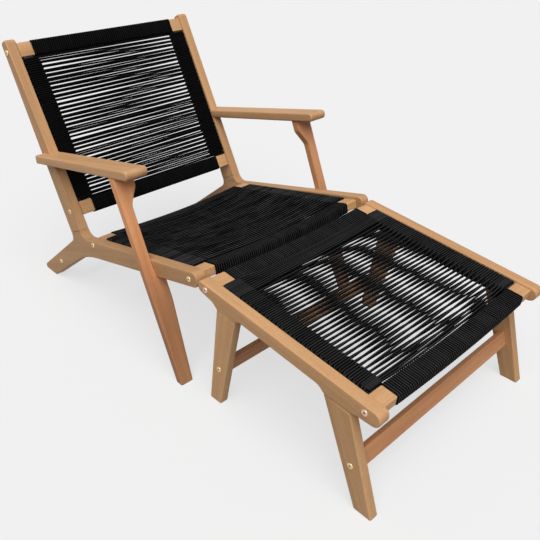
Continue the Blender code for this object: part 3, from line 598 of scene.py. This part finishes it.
def flattening(x, edge):
    """How far a cord is flattened: fully on the stile, not at all a little way into the open span."""
    return min(1.0, max(0.0, 1 - (edge - abs(x)) / FLATTEN_RUN))


def add_front_run(cord, panel, winding, strand):
    """One strand across the face, from the left stile's outer edge to the right one's."""
    edge = panel.inner_x
    band_end = panel.outer_x - CORNER_ROUND
    wobble = random.normal(0.0, STRAND_UNEVENNESS)
    for x in (-band_end, *np.linspace(-edge, edge, FRONT_STEPS + 1), band_end):
        share = max(-1.0, min(1.0, x / edge))
        free = 1 - share ** 2
        t = winding.front(strand, share * edge) + wobble * free
        drop = winding.front_drop(share, t / PANEL_LENGTH) if free else 0.0
        flat = flattening(x, edge)
        cord.add((x, t, panel.top_n - drop), STRAND_RADIUS + (BAND_HALF_WIDTH - STRAND_RADIUS) * flat,
                 STRAND_RADIUS + (BAND_HALF_HEIGHT - STRAND_RADIUS) * flat)


def add_outer_turn(cord, panel, sign, t):
    """The cord's way over a stile's outer edge, downwards on the right and upwards on the left."""
    centre_x = panel.outer_x - CORNER_ROUND
    way = corner_arc((centre_x, panel.top_n - CORNER_ROUND), CORNER_ROUND, 0)
    way += corner_arc((centre_x, panel.rear_n + CORNER_ROUND), CORNER_ROUND, 1)
    for x, n in way[::sign]:
        cord.add((sign * x, t, n), BAND_HALF_WIDTH, BAND_HALF_HEIGHT)


def add_rear_run(cord, panel, winding, strand):
    """The way back below the panel, from the right stile to the left one."""
    edge = panel.inner_x
    wobble = random.normal(0.0, STRAND_UNEVENNESS)
    right, left = winding.rear_right[strand], winding.rear_left[strand]
    for share in np.linspace(1, -1, REAR_STEPS + 1):
        free = 1 - share ** 2
        t = right + (left - right) * (1 - share) / 2 + wobble * free
        drop = winding.rear_drop(share, t / PANEL_LENGTH)
        cord.add((share * edge, t, panel.rear_n - drop), STRAND_RADIUS, STRAND_RADIUS)


def field_cords(panel, winding):
    """The cords that span the panel, each wound over both stiles on every so many strands."""
    cords = []
    edge = panel.inner_x
    for start in range(winding.starts):
        cord = Cord()
        for strand in range(start, winding.count, winding.starts):
            if strand >= winding.starts:
                add_outer_turn(cord, panel, -1, winding.front(strand, -edge))
            add_front_run(cord, panel, winding, strand)
            add_outer_turn(cord, panel, 1, winding.front(strand, edge))
            if strand + winding.starts < winding.count:
                add_rear_run(cord, panel, winding, strand)
        cords.append(cord)
    return cords


def end_turns(low, high):
    """Places of the turns that fit between two limits."""
    count = max(0, int((high - low) / (2 * BAND_HALF_WIDTH)))
    return [low + (high - low) * (turn + 0.5) / count for turn in range(count)]


def spacer_cord(panel, winding, sign):
    """One cord wound round a stile: a turn in each space between two strands, and what fits at each end.

    A turn starts on top and goes by the inner side to the underside, from where it climbs to the next turn.
    """
    half_u = (panel.outer_x - panel.inner_x) / 2
    half_v = (panel.top_n - panel.bottom_n) / 2
    middle_x = (panel.outer_x + panel.inner_x) / 2
    middle_n = (panel.top_n + panel.bottom_n) / 2
    loop = [(-u, v) for u, v in rounded_loop(half_u, half_v, CORNER_ROUND)]
    strands = winding.front(np.arange(winding.count), sign * panel.inner_x)
    rail_end = RAIL_WIDTH + 2 * WRAP_HALF_HEIGHT - RAIL_REBATE + SEAT_GAP
    turns = [*end_turns(rail_end, strands[0] - BAND_HALF_WIDTH),
             *(strands[1:] + strands[:-1]) / 2,
             *end_turns(strands[-1] + BAND_HALF_WIDTH, PANEL_LENGTH - rail_end)]
    climb = 1 + CORNER_STEPS + 1 + CORNER_STEPS
    cord = Cord()
    for t, t_after in zip(turns, turns[1:] + turns[-1:]):
        for index, (u, v) in enumerate(loop[climb:] + loop[:climb]):
            on_climb = max(0.0, (index - (len(loop) - climb)) / climb)
            place = (sign * (middle_x + u), t + (t_after - t) * on_climb, middle_n + v)
            cord.add(place, BAND_HALF_WIDTH, BAND_HALF_HEIGHT)
    return cord


def rail_wrap_cord(panel, start):
    """One cord wound round a rail in close turns, which step along on the underside."""
    offset = SEAT_GAP + WRAP_HALF_HEIGHT - RAIL_REBATE
    loop = rounded_loop(RAIL_WIDTH / 2 + offset, RAIL_DEPTH / 2 + offset, CORNER_ROUND)
    pitch = 2 * panel.wrap_half / WRAP_TURNS
    cord = Cord()
    for turn in range(WRAP_TURNS):
        middle = -panel.wrap_half + (turn + 0.5) * pitch
        uneven = random.normal(0.0, WRAP_UNEVENNESS, 2)
        for index, (u, v) in enumerate(loop):
            x = middle + uneven[0] + uneven[1] * u / RAIL_WIDTH
            if index == 0:
                x = middle - pitch / 2
            dip = panel.dish * (1 - min(1.0, (x / panel.wrap_half) ** 2))
            place = (x, start + RAIL_WIDTH / 2 + u, v - RAIL_DEPTH / 2 - dip)
            cord.add(place, pitch / 2 + WRAP_UNEVENNESS, WRAP_HALF_HEIGHT)
    return cord


def add_batten(panel, side, sign, material):
    """The black strip beside a stile that fills out the wound band."""
    end = RAIL_WIDTH + 2 * WRAP_HALF_HEIGHT
    inner, outer = panel.stile_low[0] - BATTEN_WIDTH, panel.stile_low[0] - SEAT_GAP
    section = [(inner, panel.stile_low[2]), (outer, panel.stile_low[2]), (outer, panel.stile_high[2]),
               (inner, panel.stile_high[2])]
    rings = [[(sign * x, t, n) for x, n in section] for t in (end, PANEL_LENGTH - end)]
    mesh = lofted(panel.name + "_stile_batten", rings)
    mesh.transform(panel.matrix)
    mesh.materials.append(material)
    batten = bpy.data.objects.new(panel.name + "_stile_batten_" + side, mesh)
    bpy.context.scene.collection.objects.link(batten)
    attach(batten, panel.body)


def add_panel(panel, winding, field_highlight_grey, field_streaks, rail_highlight_grey):
    """All the cord of one panel, and the battens under it."""
    field_cord = cord_material(
        panel.name + "_field_cord", field_highlight_grey, FIELD_HIGHLIGHT_POWER, STREAKS_ACROSS, field_streaks,
    )
    rail_cord = cord_material(
        panel.name + "_rail_cord", rail_highlight_grey, RAIL_HIGHLIGHT_POWER, STREAKS_AROUND, RAIL_STREAKS,
    )
    for side, sign in (("left", -1), ("right", 1)):
        add_batten(panel, side, sign, nodes[panel.name + "_stile_" + side].data.materials[0])
    spacers = [spacer_cord(panel, winding, sign) for sign in (-1, 1)]
    field = cord_piece(panel.name + "_cord", field_cords(panel, winding) + spacers, (0.0, 1.0, 0.0),
                       panel.matrix, field_cord)
    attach(field, panel.body)
    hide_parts(panel.name + "_cord_winding")
    for rail, start in zip(panel.rails, (0.0, PANEL_LENGTH - RAIL_WIDTH)):
        turns = [rail_wrap_cord(panel, start)]
        wrap = cord_piece(rail + "_cord", turns, (1.0, 0.0, 0.0), panel.matrix, rail_cord)
        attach(wrap, panel.body)
        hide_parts(rail + "_wrap")


# How each panel is wound: the shifts of the rear runs' right and left ends, and how far the strands hang
def footrest_rear_shifts(share):
    """The rear runs fan out to the left: about four pitches, fewer by the front rail, more behind."""
    fan = np.interp(share, FAN_OVER, FAN_PITCHES)
    fan *= 1 - FAN_PINCH * (1 - share) ** FAN_PINCH_POWER
    return np.full(len(share), FOOTREST_RIGHT_SHIFT), fan + FOOTREST_LEFT_SHIFT


def seat_rear_shifts(share):
    """The rear runs lie below the front runs' gaps."""
    return np.full(len(share), SEAT_SHIFT), np.full(len(share), SEAT_SHIFT)


def back_rear_shifts(share):
    """The rear runs lie aslant to the front runs by less than a pitch, as uneven as winding by hand."""
    uneven = random.normal(0.0, BACK_SHIFT_SPREAD, (2, len(share)))
    uneven = np.clip(uneven, -BACK_SHIFT_LIMIT, BACK_SHIFT_LIMIT)
    right = np.interp(share, (0, 1), BACK_RIGHT_SHIFTS)
    left = np.interp(share, (0, 1), BACK_LEFT_SHIFTS)
    return right + uneven[0], left + uneven[1]


def even_drop(depth):
    """A sag that is the same all along the panel, deepest half way across."""
    return lambda share, t_share: depth * (1 - share ** 2)


def footrest_drop(share, t_share):
    """The strands sag a little, and those close to a dished rail follow it, tucked behind its cord."""
    distance = (0.5 - abs(t_share - 0.5)) * PANEL_LENGTH - RAIL_WIDTH
    follows = min(1.0, max(0.0, 1 - distance / RAIL_REACH))
    depth = FOOTREST_SAG + (RAIL_DISH - FOOTREST_SAG) * follows
    return depth * (1 - share ** 2) + RAIL_TUCK * follows * (1 - share ** RAIL_TUCK_POWER)


def seat_drop(share, t_share):
    """The seat hangs deepest at its middle, in a soft crease, and follows its dished rails at the ends."""
    bow = math.sin(math.pi * min(1.0, max(0.0, t_share))) ** SEAT_SAG_POWER
    depth = RAIL_DISH + SEAT_SAG * bow
    dome = 1 - share ** 2
    crease = math.sqrt(1 + CREASE_ROUND) - math.sqrt(share ** 2 + CREASE_ROUND)
    return depth * ((1 - CREASE_SHARE) * dome + CREASE_SHARE * crease)


# Bolts and joint screws
def ring_at(x, radius, sides=0):
    """Ring of points about X, round or with flat sides."""
    points = []
    for step in range(BOLT_STEPS):
        angle = 2 * math.pi * step / BOLT_STEPS
        reach = radius
        if sides:
            sector = math.pi / sides
            reach = radius * math.cos(sector) / math.cos((angle % (2 * sector)) - sector)
        points.append((x, reach * math.cos(angle), reach * math.sin(angle)))
    return points


def bolt_mesh(head_radius, head_height, length):
    """Low round head with a deep hexagon socket, and its shank, head outwards along X."""
    rings = [
        ring_at(-length, SHANK_RADIUS),
        ring_at(0.0, SHANK_RADIUS),
        ring_at(0.0, head_radius),
        ring_at(0.45 * head_height, head_radius),
        ring_at(0.80 * head_height, 0.955 * head_radius),
        ring_at(head_height, 0.86 * head_radius),
        ring_at(head_height, 0.36 * head_radius),
        ring_at(0.93 * head_height, 0.31 * head_radius, 6),
        ring_at(head_height - SOCKET_DEPTH, 0.30 * head_radius, 6),
    ]
    return lofted("bolt", rings, dark_from=7)


def add_bolts(plates, socket):
    """A bolt for each of the solids, in one of two platings, with its socket painted dark as shade."""
    sample_low, sample_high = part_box("rear_stretcher_bolt_right")
    head_radius = (sample_high.z - sample_low.z) / 2
    seat_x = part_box("side_frame_right")[1].x + SEAT_GAP
    head_height = sample_high.x - seat_x
    length = seat_x - sample_low.x
    shared = {}
    for kind, plate in plates.items():
        shared[kind] = bolt_mesh(head_radius, head_height, length)
        shared[kind].materials.append(plate)
        shared[kind].materials.append(socket)
    for name in sorted(nodes):
        if "_bolt_" not in name:
            continue
        low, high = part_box(name)
        on_footrest = name.startswith("footrest")
        kind = "copper" if on_footrest and "_rail_bolt" in name else "brass"
        bolt = bpy.data.objects.new(name.replace("_bolt_", "_socket_bolt_"), shared[kind])
        sign = 1 if name.endswith("right") else -1
        spin = Matrix.Rotation(0.0 if sign > 0 else math.pi, 4, "Z")
        roll = Matrix.Rotation(random.uniform(0.0, math.pi / 3), 4, "X")
        place = Vector((sign * seat_x, (low.y + high.y) / 2, (low.z + high.z) / 2))
        bolt.matrix_world = Matrix.Translation(place) @ spin @ roll
        bpy.context.scene.collection.objects.link(bolt)
        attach(bolt, "footrest" if on_footrest else "chair")
        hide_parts(name)


def add_joint_screws(material):
    """Two countersunk screw heads in each side frame's inner face, by the joint with the back post."""
    rings = [
        ring_at(-SCREW_DEPTH, SCREW_TIP_RADIUS),
        ring_at(-SCREW_RIM, SCREW_RADIUS),
        ring_at(SCREW_PROUD * 0.6, SCREW_RADIUS),
        ring_at(SCREW_PROUD, SCREW_RADIUS * 0.92),
        ring_at(SCREW_PROUD, SCREW_RADIUS * 0.48),
        ring_at(SCREW_PROUD - RECESS_DEPTH / 2, SCREW_RADIUS * 0.42, 4),
        ring_at(SCREW_PROUD - RECESS_DEPTH, SCREW_RADIUS * 0.22, 4),
    ]
    shared = lofted("joint_screw", rings)
    shared.materials.append(material)
    inner_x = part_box("side_frame_right")[0].x
    for side, sign in (("left", -1), ("right", 1)):
        for number, (y, z) in enumerate(SCREW_SPOTS, 1):
            screw = bpy.data.objects.new(f"joint_screw_{side}_{number}", shared)
            spin = Matrix.Rotation(math.pi if sign > 0 else 0.0, 4, "Z")
            screw.matrix_world = Matrix.Translation((sign * inner_x, y, z)) @ spin
            bpy.context.scene.collection.objects.link(screw)
            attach(screw, "chair")


# Stage, light and camera
def seen_directly(tree):
    """A value of 1 for rays that look at the background itself, in sight, gloss or glass."""
    rays = tree.nodes.new("ShaderNodeLightPath")
    seen = rays.outputs["Is Camera Ray"]
    for other in ("Is Glossy Ray", "Is Transmission Ray"):
        either = tree.nodes.new("ShaderNodeMath")
        either.operation = "MAXIMUM"
        tree.links.new(seen, either.inputs[0])
        tree.links.new(rays.outputs[other], either.inputs[1])
        seen = either.outputs[0]
    return seen


def add_stage():
    """A pale floor that shows the object's shadow softened, as on a bright studio sweep."""
    floor_mesh = bpy.data.meshes.new("floor")
    half = FLOOR_SIZE / 2
    corners = [(-half, -half, 0), (half, -half, 0), (half, half, 0), (-half, half, 0)]
    floor_mesh.from_pydata(corners, [], [(0, 1, 2, 3)])
    floor = bpy.data.objects.new("floor", floor_mesh)
    grey = (FLOOR_GREY, FLOOR_GREY, FLOOR_GREY, 1.0)
    shader = Shader("floor")
    seen = seen_directly(shader.tree)
    bounce = (FLOOR_BOUNCE, FLOOR_BOUNCE, FLOOR_BOUNCE, 1.0)
    shader.feed(shader.surface.inputs["Base Color"], shader.mix(seen, bounce, grey))
    shader.surface.inputs["Roughness"].default_value = 1.0
    shader.surface.inputs["Specular IOR Level"].default_value = 0.0
    glow = shader.node("Emission", Color=grey, Strength=1.0)
    share = shader.math("MULTIPLY", seen, FLOOR_GLOW)
    blend = shader.node("MixShader")
    shader.feed(blend.inputs[0], share)
    shader.feed(blend.inputs[1], shader.surface.outputs[0])
    shader.feed(blend.inputs[2], glow.outputs[0])
    shader.feed(shader.tree.nodes["Material Output"].inputs["Surface"], blend.outputs[0])
    floor_mesh.materials.append(shader.material)
    bpy.context.scene.collection.objects.link(floor)


def add_light():
    """One large soft lamp from the front and above, and an even sky."""
    sun_data = bpy.data.lights.new("softbox", "SUN")
    sun_data.energy = SUN_STRENGTH
    sun_data.angle = SUN_SPREAD
    sun = bpy.data.objects.new("softbox", sun_data)
    sun.rotation_mode = "QUATERNION"
    sun.rotation_quaternion = Vector(SUN_FROM).to_track_quat("Z", "Y")
    bpy.context.scene.collection.objects.link(sun)
    world = bpy.data.worlds.new("studio")
    world.use_nodes = True
    bpy.context.scene.world = world
    tree = world.node_tree
    background = tree.nodes["Background"]
    level = tree.nodes.new("ShaderNodeMapRange")
    tree.links.new(seen_directly(tree), level.inputs[0])
    level.inputs[3].default_value = SKY_STRENGTH
    level.inputs[4].default_value = FLOOR_GREY
    tree.links.new(level.outputs[0], background.inputs["Strength"])
    background.inputs["Color"].default_value = (1.0, 1.0, 1.0, 1.0)


def add_camera():
    """The photograph's camera."""
    data = bpy.data.cameras.new("camera")
    data.lens = CAMERA_LENS
    data.sensor_width = SENSOR
    camera = bpy.data.objects.new("camera", data)
    turn = Matrix((CAMERA_RIGHT, CAMERA_UP, CAMERA_BACK)).transposed().to_4x4()
    camera.matrix_world = Matrix.Translation(CAMERA_PLACE) @ turn
    bpy.context.scene.collection.objects.link(camera)
    bpy.context.scene.camera = camera


# The whole
add_camera()
add_stage()
add_light()
finish_wood()
footrest_panel = Panel("footrest", "front", "rear", "footrest", RAIL_DISH)
seat_panel = Panel("seat", "front", "rear", "chair", RAIL_DISH)
back_panel = Panel("back", "bottom", "top", "chair", 0.0)
level = even_drop(0.0)
footrest_winding = Winding(
    footrest_panel, count=39, first=0.0315, pitch=0.01275, slope=0.030, starts=4,
    rear_shifts=footrest_rear_shifts, front_drop=footrest_drop, rear_drop=level, crowded=(3, 7),
)
seat_winding = Winding(
    seat_panel, count=34, first=0.0480, pitch=0.01285, slope=0.010, starts=1,
    rear_shifts=seat_rear_shifts, front_drop=seat_drop, rear_drop=even_drop(SEAT_REAR_SAG),
)
back_winding = Winding(
    back_panel, count=35, first=0.0468, pitch=0.01247, slope=0.0148, starts=1,
    rear_shifts=back_rear_shifts, front_drop=even_drop(BACK_SAG), rear_drop=level,
)
# One black cord on every panel; its highlight greys differ per panel as painted light, brightest on the seat
# and darkest on the upright back as painted shade
add_panel(footrest_panel, footrest_winding, field_highlight_grey=0.045, field_streaks=0.40, rail_highlight_grey=0.062)
add_panel(seat_panel, seat_winding, field_highlight_grey=0.105, field_streaks=0.90, rail_highlight_grey=0.052)
add_panel(back_panel, back_winding, field_highlight_grey=0.010, field_streaks=0.40, rail_highlight_grey=0.015)
plates = {
    "brass": metal_material("brass_plate", *BRASS),
    "copper": metal_material("copper_plate", *COPPER),
}
add_bolts(plates, metal_material("socket_painted_shade", *SOCKET_SHADE))
add_joint_screws(metal_material("dark_screw", *SCREW_BROWN))
bpy.context.scene.view_settings.view_transform = "Standard"
